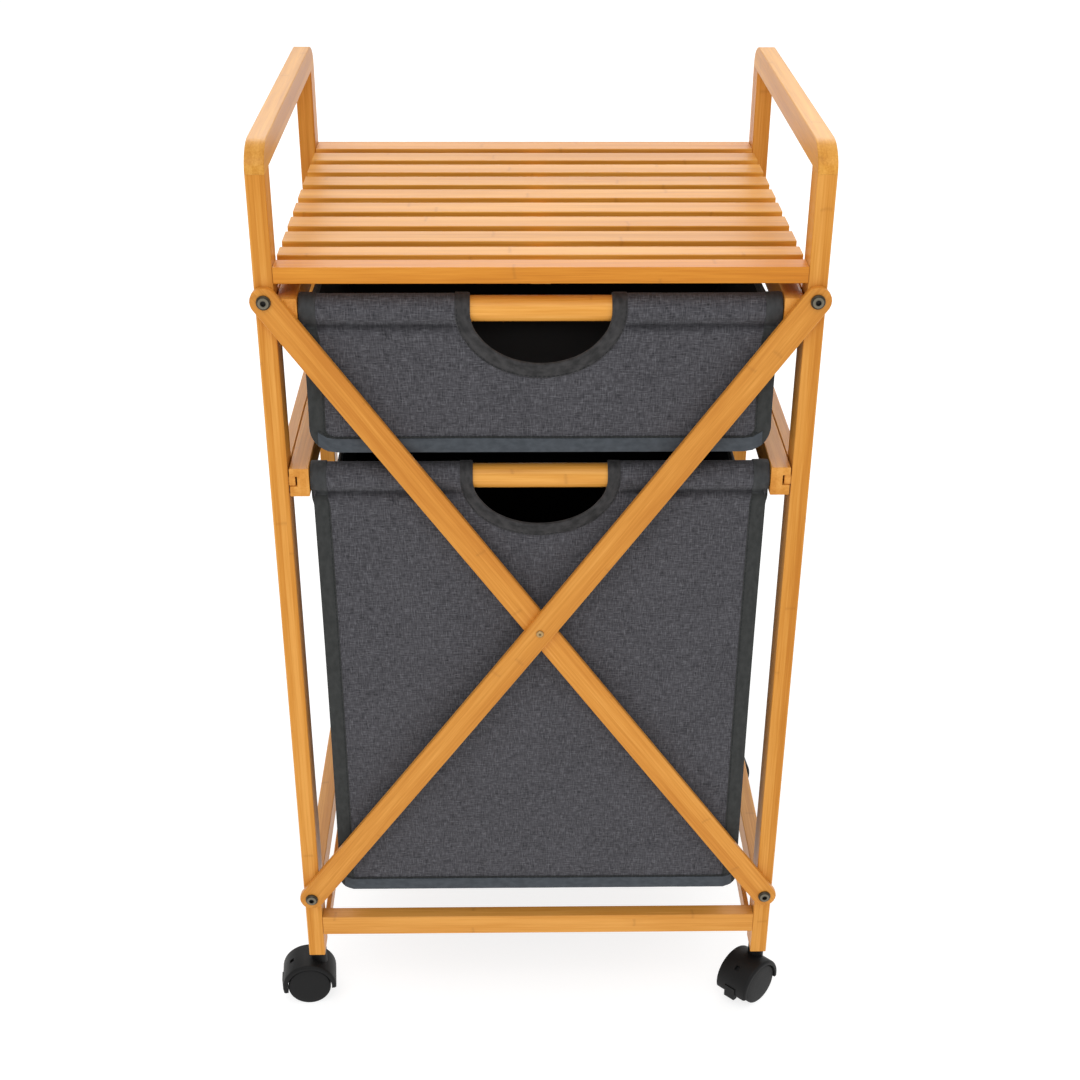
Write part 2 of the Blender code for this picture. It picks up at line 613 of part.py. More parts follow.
def make_hood(corner, stem, axle, plastic):
    """The swivelling body: a rounded hood over both wheels, a web between them that holds the axle, and a boss."""
    centre = (axle[0], axle[2])
    rounded = []
    for i in range(HOOD_ROUNDING_STEPS + 1):
        angle = math.pi / 2 * i / HOOD_ROUNDING_STEPS
        position = HOOD_HALF_WIDTH - HOOD_ROUNDING * (1 - math.cos(angle))
        rounded.append((position, HOOD_RADIUS - HOOD_ROUNDING * (1 - math.sin(angle))))
    sections = [(axle[1] - position, hood_outline(centre, radius)) for position, radius in rounded]
    sections += [(axle[1] + position, hood_outline(centre, radius)) for position, radius in rounded[::-1]]
    hood = loft(f"caster_hood_{corner}", sections, 1, plastic)
    boss_low = axle[2] + PIVOT_RADIUS
    boss = rod("boss", (stem[0], stem[1], 0), (0, 0, 1), boss_low, STEM_BOSS_TOP, STEM_BOSS_RADIUS, 24)
    join(hood, boss)
    for sign in (-1, 1):
        near = axle[1] + sign * HOOD_WEB_HALF
        far = axle[1] + sign * (HOOD_HALF_WIDTH + OVERCUT)
        well = arc(centre, HOOD_INNER_RADIUS, -60, 240, HOOD_ARC_STEPS)
        well += [(centre[0] - HOOD_INNER_RADIUS, -OVERCUT), (centre[0] + HOOD_INNER_RADIUS, -OVERCUT)]
        cut(hood, prism("wheel_well", well, 1, min(near, far), max(near, far)))
    cut(
        hood,
        rod("axle_bore", axle, (0, 1, 0), -0.01, 0.01, AXLE_BORE),
        rod("pivot_bore", (stem[0], stem[1], 0), (0, 0, 1), PIVOT_LOW_Z - TOUCH, 0.08, PIVOT_BORE),
        hood_slot(axle),
    )
    if "front" in corner:
        half = LEVER_HALF_WIDTH + NOTCH_CLEARANCE
        low = (axle[0] - HOOD_RADIUS - OVERCUT, axle[1] - half, 0)
        high = (axle[0] - NOTCH_NEAR, axle[1] + half, LEVER_TOP_Z + NOTCH_CLEARANCE)
        cut(hood, box("lever_notch", low, high))
    return smooth(hood)


def hood_slot(axle):
    """A cutter for the small blind slot on the middle of the hood's back."""
    angle = math.radians(HOOD_SLOT_ANGLE)
    out = Vector((math.cos(angle), 0, math.sin(angle)))
    around = Vector((-out.z, 0, out.x)) * HOOD_SLOT_SIZE[0] / 2
    across = HOOD_SLOT_SIZE[1] / 2
    points = []
    for radius in (HOOD_RADIUS - HOOD_SLOT_DEPTH, HOOD_RADIUS + OVERCUT):
        for turn, side in ((-1, -1), (1, -1), (1, 1), (-1, 1)):
            points.append(Vector(axle) + out * radius + around * turn + Vector((0, side * across, 0)))
    faces = [(0, 1, 2, 3), (4, 5, 6, 7), (0, 1, 5, 4), (1, 2, 6, 5), (2, 3, 7, 6), (3, 0, 4, 7)]
    return mesh_object("slot", points, faces)


def make_stem(corner, plastic_or_steel):
    """The fixed pin: a spigot up into the leg, a collar under it and a pivot down into the hood's boss."""
    x, y = leg_position(corner)
    profile = [(PIVOT_LOW_Z, 0), (PIVOT_LOW_Z, PIVOT_RADIUS), (STEM_BOSS_TOP + TOUCH, PIVOT_RADIUS)]
    profile += [(STEM_BOSS_TOP + TOUCH, COLLAR_RADIUS), (LEG_BASE_Z - TOUCH, COLLAR_RADIUS)]
    profile += [(LEG_BASE_Z - TOUCH, STEM_RADIUS), (LEG_BASE_Z + STEM_DEPTH_IN_LEG, STEM_RADIUS)]
    profile += [(LEG_BASE_Z + STEM_DEPTH_IN_LEG, 0)]
    smooth(lathe(f"caster_stem_{corner}", profile, (x, y, 0), (0, 0, 1), 16, plastic_or_steel))


def make_lever(corner, axle, plastic):
    """A brake tab in a notch of the hood's tail that reaches out below it. Pressed, its foot swings to the wheels."""
    low = (axle[0] - LEVER_FAR, axle[1] - LEVER_HALF_WIDTH, LEVER_LOW_Z)
    high = (axle[0] - LEVER_NEAR, axle[1] + LEVER_HALF_WIDTH, LEVER_TOP_Z)
    return box(f"brake_lever_{corner}", low, high, plastic)


def make_casters(plastic, steel):
    for corner, degrees in CASTER_ANGLES.items():
        x, y = leg_position(corner)
        stem = (x, y, 0.0)
        axle = (x - CASTER_TRAIL, y, WHEEL_RADIUS)
        make_stem(corner, steel)
        pieces = [make_wheel_pair(corner, axle, plastic), make_hood(corner, stem, axle, plastic)]
        if "front" in corner:
            pieces.append(make_lever(corner, axle, plastic))
        for piece in pieces:
            turn_about(piece, stem, degrees)
        turn = Matrix.Rotation(math.radians(degrees), 4, "Z")
        set_origin(pieces[0], Vector(stem) + turn @ Vector((-CASTER_TRAIL, 0, WHEEL_RADIUS)))
        if "front" in corner:
            hinge = Vector((-CASTER_TRAIL - LEVER_HINGE, 0, LEVER_TOP_Z))
            set_origin(pieces[2], Vector(stem) + turn @ hinge)


def main():
    clear_scene()
    bamboo = principled("bamboo", (0.72, 0.40, 0.15), 0.42)
    fabric = principled("bag_fabric", (0.075, 0.073, 0.082), 0.95)
    plastic = principled("black_plastic", (0.022, 0.022, 0.023), 0.42)
    steel = principled("steel", (0.55, 0.54, 0.52), 0.30, 1.0)
    make_legs(bamboo)
    make_handles(bamboo)
    make_shelf(bamboo)
    make_bottom(bamboo)
    make_runners(bamboo)
    make_drawers(bamboo, fabric)
    make_braces(bamboo, steel)
    make_casters(plastic, steel)


main()
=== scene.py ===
"""Bamboo laundry sorter on wheels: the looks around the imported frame."""

import math

import bmesh
import bpy
from mathutils import Matrix, Vector, noise


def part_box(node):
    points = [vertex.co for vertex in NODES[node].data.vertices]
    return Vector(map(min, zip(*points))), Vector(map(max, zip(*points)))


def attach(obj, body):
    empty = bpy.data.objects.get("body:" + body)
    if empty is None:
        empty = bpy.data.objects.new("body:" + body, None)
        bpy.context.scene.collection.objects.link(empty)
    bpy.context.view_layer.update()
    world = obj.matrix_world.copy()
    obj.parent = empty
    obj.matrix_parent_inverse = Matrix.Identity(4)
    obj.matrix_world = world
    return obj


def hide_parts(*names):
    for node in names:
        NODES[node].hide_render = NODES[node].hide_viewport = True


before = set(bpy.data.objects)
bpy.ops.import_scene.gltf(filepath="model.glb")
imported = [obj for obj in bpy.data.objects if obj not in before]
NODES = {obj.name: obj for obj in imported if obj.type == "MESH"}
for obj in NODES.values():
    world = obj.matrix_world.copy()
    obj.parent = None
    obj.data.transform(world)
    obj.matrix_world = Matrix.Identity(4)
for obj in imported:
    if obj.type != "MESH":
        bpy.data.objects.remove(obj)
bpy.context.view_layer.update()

# Bags: dowel axis height and lowest point of the cloth for each level
BAGS = {"upper": (0.6931, 0.5780), "lower": (0.5518, 0.1355)}
DOWEL_Y = 0.180
CASING_RADIUS = 0.0111
CASING_HALF_WIDTH = 0.1868
PANEL_HALF_WIDTH = 0.1850
PANEL_PULL_IN = 0.0008
PANEL_Y = 0.1903
SEAM_DROP = 0.0122
SEAM_DEPTH = 0.0048
CORNER_RADII = {"upper": 0.020, "lower": 0.012}
SIDE_DIPS = {"upper": 0.008, "lower": 0.060}
SIDE_TOP_DROP = 0.004
SEAM_V = CASING_RADIUS * math.pi / 2 + SEAM_DROP
CUTOUT_HALF_WIDTH = 0.0555
CUTOUT_DROP = {"upper": 0.0425, "lower": 0.0405}
CLOTH_THICKNESS = 0.0011
CUTOUT_BINDINGS = {"upper": 0.0108, "lower": 0.0094}
CASING_BINDING = 0.0122
SIDE_BINDING = 0.0124
BOTTOM_BINDING = 0.0112
TAPE_THICKNESS = 0.0007
STITCH_LENGTH = 0.0026
STITCH_PITCH = 0.0036

# Gusset: half its depth, the half length of its upper edges' sag, its slack and ripple
GUSSET_HALF_DEPTH = PANEL_Y - 0.0012
SIDE_DIP_HALF = 0.178
SIDE_SLACK = 0.0035
SIDE_RIPPLE = 0.0016
GUSSET_SEEDS = {"upper": 40.0, "lower": 50.0}

# Steps along each end of the cut-out's path that lie on the casing
CASING_STEPS = 24

# Bamboo: width of a strip, where one layer of strips starts in y, and spacing of the growth nodes
STRIP_WIDTH = 0.0049
LAYER_START = 0.19415
GROWTH_NODE_SPACING = 0.34

# Threads of the cloth and ribs of the tape, in radians per metre
WEAVE_RATE = 6800
RIB_RATE = 9000

# Edges of sewn tape that turn more sharply than this, in degrees, stay sharp
FOLD_ANGLE = 50


# ---------------------------------------------------------------- node helpers


class Nodes:
    """Short-hand for building one material's node tree."""

    def __init__(self, name):
        self.material = bpy.data.materials.new(name)
        self.material.use_nodes = True
        self.tree = self.material.node_tree
        self.shader = self.tree.nodes["Principled BSDF"]

    def link(self, value, socket):
        if isinstance(value, bpy.types.NodeSocket):
            self.tree.links.new(value, socket)
        else:
            socket.default_value = value

    def math(self, operation, a, b=0.0, c=0.0, clamp=False):
        node = self.tree.nodes.new("ShaderNodeMath")
        node.operation = operation
        node.use_clamp = clamp
        for value, socket in zip((a, b, c), node.inputs):
            self.link(value, socket)
        return node.outputs[0]

    def coords(self, kind):
        return self.tree.nodes.new("ShaderNodeTexCoord").outputs[kind]

    def object_random(self):
        return self.tree.nodes.new("ShaderNodeObjectInfo").outputs["Random"]

    def dot(self, vector, direction):
        node = self.tree.nodes.new("ShaderNodeVectorMath")
        node.operation = "DOT_PRODUCT"
        self.link(vector, node.inputs[0])
        node.inputs[1].default_value = direction
        return node.outputs["Value"]

    def split(self, vector):
        node = self.tree.nodes.new("ShaderNodeSeparateXYZ")
        self.link(vector, node.inputs[0])
        return node.outputs

    def combine(self, x, y, z):
        node = self.tree.nodes.new("ShaderNodeCombineXYZ")
        for value, socket in zip((x, y, z), node.inputs):
            self.link(value, socket)
        return node.outputs[0]

    def scaled(self, parts, factors, seed=None):
        """Each part times its factor, as one vector, with the seed as its last part if there is one."""
        products = [self.math("MULTIPLY", part, factor) for part, factor in zip(parts, factors)]
        return self.combine(*products) if seed is None else self.combine(*products, seed)

    def noise(self, vector, scale=1.0, detail=2.0, roughness=0.5):
        node = self.tree.nodes.new("ShaderNodeTexNoise")
        self.link(vector, node.inputs["Vector"])
        node.inputs["Scale"].default_value = scale
        node.inputs["Detail"].default_value = detail
        node.inputs["Roughness"].default_value = roughness
        return node.outputs[0]

    def white(self, value):
        node = self.tree.nodes.new("ShaderNodeTexWhiteNoise")
        node.noise_dimensions = "1D"
        self.link(value, node.inputs["W"])
        return node.outputs["Value"]

    def ramp(self, value, *stops):
        node = self.tree.nodes.new("ShaderNodeValToRGB")
        self.link(value, node.inputs[0])
        elements = node.color_ramp.elements
        while len(elements) < len(stops):
            elements.new(0.5)
        for element, (position, colour) in zip(elements, stops):
            element.position = position
            element.color = (*colour, 1.0)
        return node.outputs[0]

    def mix(self, share, a, b, blend="MIX"):
        node = self.tree.nodes.new("ShaderNodeMix")
        node.data_type = "RGBA"
        node.blend_type = blend
        self.link(share, node.inputs[0])
        for value, socket in ((a, node.inputs[6]), (b, node.inputs[7])):
            self.link((*value, 1.0) if isinstance(value, tuple) else value, socket)
        return node.outputs[2]

    def bump(self, height, strength, distance):
        node = self.tree.nodes.new("ShaderNodeBump")
        node.inputs["Strength"].default_value = strength
        node.inputs["Distance"].default_value = distance
        self.link(height, node.inputs["Height"])
        self.tree.links.new(node.outputs[0], self.shader.inputs["Normal"])

    def set(self, **inputs):
        for name, value in inputs.items():
            socket = self.shader.inputs[name.replace("_", " ")]
            if isinstance(value, tuple) and len(value) == 3:
                value = (*value, 1.0)
            self.link(value, socket)
        return self.material


# ---------------------------------------------------------------- materials


def bamboo_material(name, along, tint=(1.0, 1.0, 1.0), layer_height=0.0127, gloss=0.21):
    """Laminated bamboo with its fibres along a direction.

    Its strips differ in tone, and each carries its own growth nodes.
    """
    n = Nodes(name)
    along = Vector(along).normalized()
    side = along.cross(Vector((0, 1, 0)))
    if side.length < 0.1:
        side = Vector((1, 0, 0))
    side.normalize()
    third = along.cross(side)
    place = n.coords("Object")
    offset = n.math("MULTIPLY", n.object_random(), 7.0)
    length = n.math("ADD", n.dot(place, along), offset)
    across = n.math("ADD", n.dot(place, side), offset)
    depth = n.dot(place, third)

    lie = (across, depth, length)
    tone = n.noise(n.scaled(lie, (60, 60, 3)))
    streaks = n.noise(n.scaled(lie, (700, 700, 16)), detail=4.0, roughness=0.6)
    fibres = n.noise(n.scaled(lie, (2200, 2200, 60)))
    lamella = n.math("FLOOR", n.math("DIVIDE", across, STRIP_WIDTH))
    layer = n.math("FLOOR", n.math("DIVIDE", n.math("SUBTRACT", depth, LAYER_START), layer_height))
    strip_tone = n.white(n.math("ADD", lamella, n.math("MULTIPLY", layer, 31.7)))
    blend = n.math("ADD", n.math("MULTIPLY", tone, 0.40), n.math("MULTIPLY", streaks, 0.40))
    colour = n.ramp(
        n.math("MULTIPLY_ADD", strip_tone, 0.11, n.math("ADD", blend, 0.045)),
        (0.36, (0.570, 0.208, 0.023)),
        (0.50, (0.690, 0.286, 0.042)),
        (0.64, (0.810, 0.378, 0.078)),
    )
    piece_tone = n.math("MULTIPLY_ADD", n.object_random(), 0.10, 0.95)
    colour = n.mix(1.0, colour, n.scaled((piece_tone,) * 3, tint), "MULTIPLY")
    colour = n.mix(n.math("MULTIPLY", fibres, 0.13), colour, (0.40, 0.14, 0.018))

    column = n.math("FLOOR", n.math("MULTIPLY", across, 110))
    row = n.math("FLOOR", n.math("MULTIPLY", depth, 70))
    phase = n.white(n.math("ADD", column, n.math("MULTIPLY", row, 17.3)))
    wander = n.math("MULTIPLY", n.noise(place, scale=120, detail=0.0), 0.003)
    turns = n.math("DIVIDE", n.math("ADD", length, wander), GROWTH_NODE_SPACING)
    cycle = n.math("FRACT", n.math("ADD", turns, phase))
    distance = n.math("ABSOLUTE", n.math("SUBTRACT", cycle, 0.5))
    line = n.math("SUBTRACT", 1.0, n.math("DIVIDE", distance, 0.0060), clamp=True)
    halo = n.math("SUBTRACT", 1.0, n.math("DIVIDE", distance, 0.035), clamp=True)
    colour = n.mix(n.math("MULTIPLY", halo, 0.09), colour, (0.45, 0.17, 0.022))
    colour = n.mix(n.math("MULTIPLY", line, 0.20), colour, (0.28, 0.09, 0.012))

    height = n.math("ADD", n.math("MULTIPLY", streaks, 0.6), n.math("MULTIPLY", line, 0.5))
    n.bump(height, 0.12, 0.0006)
    rough = n.math("MULTIPLY_ADD", streaks, 0.16, 0.30)
    return n.set(
        Base_Color=colour,
        Roughness=rough,
        Specular_IOR_Level=gloss,
        Coat_Weight=0.03,
        Coat_Roughness=0.25,
    )


def cloth_material(name, dark, light, slub, contrast):
    """Heathered plain weave in metres of cloth through the UV map: threads and light slubs both ways.

    Shade is painted into the crease of the casing's seam: the cloth is darker there, in a band across the
    panels at a fixed v.
    """
    n = Nodes(name)
    u, v = n.split(n.coords("UV"))[:2]
    weft = n.noise(n.scaled((u, v), (120, 900), 0.0), roughness=0.55)
    warp = n.noise(n.scaled((u, v), (900, 120), 3.0), roughness=0.55)
    cloud = n.noise(n.scaled((u, v), (22, 22), 7.0))
    threads = n.math("ADD", n.math("MULTIPLY", weft, 0.5), n.math("MULTIPLY", warp, 0.5))
    swing = n.math("MULTIPLY", n.math("SUBTRACT", threads, 0.5), contrast)
    value = n.math("ADD", swing, n.math("MULTIPLY_ADD", cloud, 0.20, 0.40))
    colour = n.ramp(value, (0.10, dark), (0.90, light))
    for scales, seed in (((170, 1000), 11.0), ((1000, 170), 17.0)):
        thick = n.noise(n.scaled((u, v), scales, seed), detail=1.0)
        streak = n.math("MULTIPLY", n.math("SUBTRACT", thick, 0.56), 6.0, clamp=True)
        colour = n.mix(n.math("MULTIPLY", streak, 0.41), colour, slub)
    # Painted shade: a dark band along the crease under the casing's seam, faded out beside the hand
    # cut-out.
    below = n.math("DIVIDE", n.math("ADD", v, SEAM_V), 0.0030)
    crease = n.math("EXPONENT", n.math("MULTIPLY", n.math("MULTIPLY", below, below), -1.0))
    past = n.math("SUBTRACT", n.math("ABSOLUTE", u), CUTOUT_HALF_WIDTH + 0.004)
    beside = n.math("DIVIDE", past, 0.012, clamp=True)
    shade = n.math("MULTIPLY", n.math("MULTIPLY", crease, beside), 0.50)
    colour = n.mix(shade, colour, tuple(0.25 * c for c in dark))
    over = n.math("SINE", n.math("MULTIPLY", u, WEAVE_RATE))
    under = n.math("SINE", n.math("MULTIPLY", v, WEAVE_RATE))
    weave = n.math("MULTIPLY", over, under)
    n.bump(n.math("ADD", n.math("MULTIPLY", weave, 0.35), threads), 0.55, 0.0004)
    return n.set(
        Base_Color=colour,
        Roughness=0.92,
        Sheen_Weight=0.11,
        Sheen_Roughness=0.5,
        Specular_IOR_Level=0.20,
    )


def tape_material(name, dark, light):
    """Woven binding tape: fine ribs across it and slight fading."""
    n = Nodes(name)
    u, v = n.split(n.coords("UV"))[:2]
    fade = n.noise(n.scaled((u, v), (130, 220), 0.0), detail=3.0)
    colour = n.ramp(fade, (0.35, dark), (0.65, light))
    ribs = n.math("SINE", n.math("MULTIPLY", u, RIB_RATE))
    n.bump(n.math("ADD", n.math("MULTIPLY", ribs, 0.3), n.math("MULTIPLY", fade, 1.2)), 0.5, 0.0004)
    return n.set(Base_Color=colour, Roughness=0.78, Sheen_Weight=0.08, Specular_IOR_Level=0.35)


def plastic_material(name, colour, roughness, grain):
    """Moulded plastic with a fine grain and faint wear."""
    n = Nodes(name)
    place = n.coords("Object")
    fine = n.noise(place, scale=2600, detail=2.0)
    wear = n.noise(place, scale=70, detail=3.0)
    n.bump(fine, grain, 0.0002)
    rough = n.math("MULTIPLY_ADD", wear, 0.14, roughness - 0.07)
    shade = n.mix(n.math("MULTIPLY", wear, 0.35), colour, tuple(1.8 * c for c in colour))
    return n.set(Base_Color=shade, Roughness=rough, Specular_IOR_Level=0.20)


def steel_material(name):
    """Zinc-plated steel, unevenly stained."""
    n = Nodes(name)
    place = n.coords("Object")
    fine = n.noise(place, scale=1800, detail=3.0)
    stain = n.noise(place, scale=420, detail=3.0)
    n.bump(fine, 0.15, 0.0002)
    rough = n.math("MULTIPLY_ADD", stain, 0.25, 0.22)
    colour = n.ramp(stain, (0.3, (0.36, 0.35, 0.34)), (0.7, (0.62, 0.61, 0.60)))
    return n.set(Base_Color=colour, Metallic=1.0, Roughness=rough)


def bolt_material(name):
    """Zinc on a head that faces -Y: dull on a bolt, yellow on the screw. The bolt's hex socket is painted
    black as shade, and its rim carries a dark ring of painted shadow; the screw is darker at its middle
    and towards its edge.
    """
    n = Nodes(name)
    low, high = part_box(name)
    place = n.coords("Object")
    x, _, z = n.split(place)[:3]
    across = n.math("SUBTRACT", x, (low.x + high.x) / 2)
    up = n.math("SUBTRACT", z, (low.z + high.z) / 2)
    squares = n.math("ADD", n.math("MULTIPLY", across, across), n.math("MULTIPLY", up, up))
    radius = n.math("SQRT", squares)
    share = n.math("DIVIDE", radius, (high.x - low.x) / 2)
    stain = n.noise(place, scale=900, detail=3.0)
    share = n.math("ADD", share, n.math("MULTIPLY_ADD", stain, 0.10, -0.05))
    if name == "brace_screw":
        # On the screw: darker at the middle and towards the edge.
        stops = (
            (0.20, (0.110, 0.075, 0.030)),
            (0.42, (0.400, 0.270, 0.115)),
            (0.80, (0.520, 0.330, 0.130)),
            (0.98, (0.300, 0.170, 0.060)),
        )
    else:
        # On the bolt: painted shade, near black, in the hex socket; the head's zinc; then a dark ring of
        # painted shadow at the rim.
        stops = (
            (0.34, (0.006, 0.005, 0.004)),
            (0.44, (0.150, 0.132, 0.095)),
            (0.68, (0.185, 0.165, 0.120)),
            (0.80, (0.024, 0.020, 0.013)),
            (0.95, (0.060, 0.048, 0.028)),
        )
    colour = n.ramp(share, *stops)
    n.bump(stain, 0.2, 0.0002)
    return n.set(Base_Color=colour, Metallic=0.55, Roughness=0.42)


def plain_material(name, colour, roughness):
    """A faintly mottled matt finish, for the bags' lining and the thread."""
    n = Nodes(name)
    mottle = n.noise(n.coords("Object"), scale=900, detail=2.0)
    shade = n.mix(n.math("MULTIPLY", mottle, 0.4), colour, tuple(1.6 * c for c in colour))
    n.bump(mottle, 0.2, 0.0002)
    return n.set(Base_Color=shade, Roughness=roughness, Specular_IOR_Level=0.2)


# ---------------------------------------------------------------- mesh helpers


def mesh_piece(name, points, faces, uvs=None, materials=()):
    mesh = bpy.data.meshes.new(name)
    mesh.from_pydata([tuple(p) for p in points], [], faces)
    if uvs:
        layer = mesh.uv_layers.new(name="UVMap")
        for loop in mesh.loops:
            layer.data[loop.index].uv = uvs[loop.vertex_index]
    for material in materials:
        mesh.materials.append(material)
    mesh.shade_smooth()
    mesh.update()
    piece = bpy.data.objects.new(name, mesh)
    bpy.context.scene.collection.objects.link(piece)
    return piece


def grid_faces(rows, columns):
    faces = []
    for i in range(rows - 1):
        for j in range(columns - 1):
            a = i * columns + j
            faces.append((a, a + 1, a + columns + 1, a + columns))
    return faces


def thicken(cloth):
    """Gives cloth its thickness, with the lining material on its inner face."""
    modifier = cloth.modifiers.new("thickness", "SOLIDIFY")
    modifier.thickness = CLOTH_THICKNESS
    modifier.offset = 0.0
    modifier.use_even_offset = True
    modifier.material_offset = 1
    modifier.material_offset_rim = 0
    return cloth


def fix_normals(piece):
    work = bmesh.new()
    work.from_mesh(piece.data)
    bmesh.ops.recalc_face_normals(work, faces=work.faces)
    work.to_mesh(piece.data)
    work.free()


def tube_piece(name, points, uvs, count, material):
    """A closed tube through rings of count points each."""
    last = len(points) - count
    faces = []
    for first in range(0, last, count):
        for k in range(count):
            a, b = first + k, first + (k + 1) % count
            faces.append((a, b, b + count, a + count))
    faces += [tuple(range(count))[::-1], tuple(range(last, last + count))]
    piece = mesh_piece(name, points, faces, uvs, (material,))
    fix_normals(piece)
    piece.data.set_sharp_from_angle(angle=math.radians(FOLD_ANGLE))
    return piece


def spaced(low, high, count):
    return [low + (high - low) * i / count for i in range(count + 1)]


def smoothstep(t):
    t = max(0.0, min(1.0, t))
    return t * t * (3 - 2 * t)


# ---------------------------------------------------------------- bags


class Panel:
    """The front or rear cloth of a bag, addressed by x across and s down from the casing's top.

    Negative s runs over the dowel to the inside. The cloth's own lie is in point().
    """

    def __init__(self, level, side):
        self.side = side
        self.axis_z, self.floor_z = BAGS[level]
        self.quarter = CASING_RADIUS * math.pi / 2
        self.s_axis = self.quarter
        self.s_seam = self.s_axis + SEAM_DROP
        self.s_bottom = self.s_axis + self.axis_z - self.floor_z
        self.s_inner = -self.quarter - SEAM_DROP * 0.96
        self.drop = CUTOUT_DROP[level]
        self.corner = CORNER_RADII[level]
        self.seed = (3.1 if level == "upper" else 9.7) + (0.0 if side < 0 else 20.0)

    def profile(self, s):
        """(outward y from the dowel's axis, height) of the cloth; outward is positive."""
        if -self.quarter <= s <= self.quarter:
            angle = s / CASING_RADIUS
            return CASING_RADIUS * math.sin(angle), self.axis_z + CASING_RADIUS * math.cos(angle)
        if s < 0:
            down = -s - self.quarter
            share = smoothstep(down / SEAM_DROP)
            inner = -CASING_RADIUS + share * (CASING_RADIUS + PANEL_Y - DOWEL_Y - SEAM_DEPTH - 0.0015)
            return inner, self.axis_z - down
        down = s - self.quarter
        face = PANEL_Y - DOWEL_Y
        return CASING_RADIUS + (face - CASING_RADIUS) * smoothstep(down / 0.008), self.axis_z - down

    def half_width(self, s):
        if s <= self.s_seam:
            return CASING_HALF_WIDTH
        share = (s - self.s_seam) / (self.s_bottom - self.s_seam)
        step = smoothstep((s - self.s_seam) / 0.010)
        width = CASING_HALF_WIDTH + (PANEL_HALF_WIDTH - CASING_HALF_WIDTH) * step
        return width - PANEL_PULL_IN * math.sin(math.pi * min(1.0, share))

    def pinch(self, x, s):
        """How far the casing's seam draws the cloth in; it fades out beside the hand cut-out."""
        reach = 0.0046 if s < self.s_seam else 0.0028
        fade = smoothstep((abs(x) - CUTOUT_HALF_WIDTH - 0.003) / 0.014)
        return SEAM_DEPTH * fade * math.exp(-(((s - self.s_seam) / reach) ** 2))

    def sag(self, x, s):
        """How far the cloth leaves its plane, outward."""
        share = (s - self.s_seam) / (self.s_bottom - self.s_seam)
        if share <= 0:
            crinkle = 0.0002 * noise.noise(Vector((x * 45, s * 60, self.seed)))
            return crinkle - (self.pinch(x, s) if s > 0 else 0.0)
        from_side = min(1.0, (PANEL_HALF_WIDTH - abs(x)) / 0.02)
        hold = max(0.0, min(1.0, share / 0.10) * min(1.0, (1 - share) / 0.06) * from_side)
        tall = self.s_bottom - self.s_seam
        belly = -0.0030 * min(1.0, tall / 0.4)
        belly *= math.sin(math.pi * share) * math.cos(math.pi * x / 0.40)
        ripple = 0.0011 * noise.noise(Vector((x * 9, s * 6, self.seed)))
        pucker = 0.0005 * noise.noise(Vector((x * 55, s * 14, self.seed)))
        pucker *= math.exp(-share * tall / 0.03) * min(1.0, share * tall / 0.004)
        return hold * (belly + ripple) + pucker - self.pinch(x, s)

    def point(self, x, s, lift=0.0):
        """A point of the cloth, lifted outward from its middle plane."""
        step = 0.0004
        y0, z0 = self.profile(s - step)
        y1, z1 = self.profile(s + step)
        tangent = Vector((0, y1 - y0, z1 - z0)).normalized()
        normal = Vector((0, -tangent.z, tangent.y))
        y, z = self.profile(s)
        rise = lift + self.sag(x, s)
        reach = self.half_width(s) / PANEL_HALF_WIDTH
        place = Vector((x * reach, y, z)) + normal * rise
        return Vector((place.x, self.side * (DOWEL_Y + place.y), place.z))

    def corner_rise(self, x):
        """How much higher than s_bottom the cloth ends at x, for the rounded bottom corners."""
        over = abs(x) - (PANEL_HALF_WIDTH - self.corner)
        if over <= 0:
            return 0.0
        return self.corner - math.sqrt(max(0.0, self.corner**2 - over**2))

    def top_edge(self, x):
        """Where the cloth starts at x, below the hand cut-out."""
        share = min(1.0, abs(x) / CUTOUT_HALF_WIDTH)
        return self.s_axis + self.drop * math.sqrt(max(0.0, 1 - share**2))


def panel_cloth(panel, name, materials):
    """The cloth itself, in columns from the cut-out or the casing's inner seam to the bottom."""
    inside = [CUTOUT_HALF_WIDTH * math.sin(math.pi / 2 * t) for t in spaced(-1, 1, 44)]
    corner = PANEL_HALF_WIDTH - panel.corner
    shoulder = spaced(CUTOUT_HALF_WIDTH, corner, 30)[1:]
    rounded = [corner + panel.corner * math.sin(math.pi / 2 * t) for t in spaced(0, 1, 8)[1:]]
    wing = shoulder + rounded
    columns = [-x for x in reversed(wing)] + inside + wing
    upper_rows = spaced(panel.s_inner, -panel.quarter, 5)[:-1]
    upper_rows += spaced(-panel.quarter, panel.s_axis, 16)[:-1]
    body_rows = body_shares(panel)
    points, uvs, faces = [], [], []
    lower = {}
    for i, x in enumerate(columns):
        start = panel.top_edge(x)
        end = panel.s_bottom - panel.corner_rise(x)
        for j, t in enumerate(body_rows):
            s = start + (end - start) * t
            lower[i, j] = len(points)
            points.append(panel.point(x, s))
            uvs.append((x, -s))
    for i in range(len(columns) - 1):
        for j in range(len(body_rows) - 1):
            corners = (i, j), (i + 1, j), (i + 1, j + 1), (i, j + 1)
            faces.append(tuple(lower[corner] for corner in corners))
    upper = {}
    for i, x in enumerate(columns):
        if abs(x) < CUTOUT_HALF_WIDTH - 1e-6:
            continue
        for j, s in enumerate(upper_rows):
            upper[i, j] = len(points)
            points.append(panel.point(x, s))
            uvs.append((x, -s))
        upper[i, len(upper_rows)] = lower[i, 0]
    for i in range(len(columns) - 1):
        if (i, 0) not in upper or (i + 1, 0) not in upper:
            continue
        for j in range(len(upper_rows)):
            corners = (i, j), (i + 1, j), (i + 1, j + 1), (i, j + 1)
            faces.append(tuple(upper[corner] for corner in corners))
    if panel.side < 0:
        faces = [face[::-1] for face in faces]
    return thicken(mesh_piece(name, points, faces, uvs, materials))


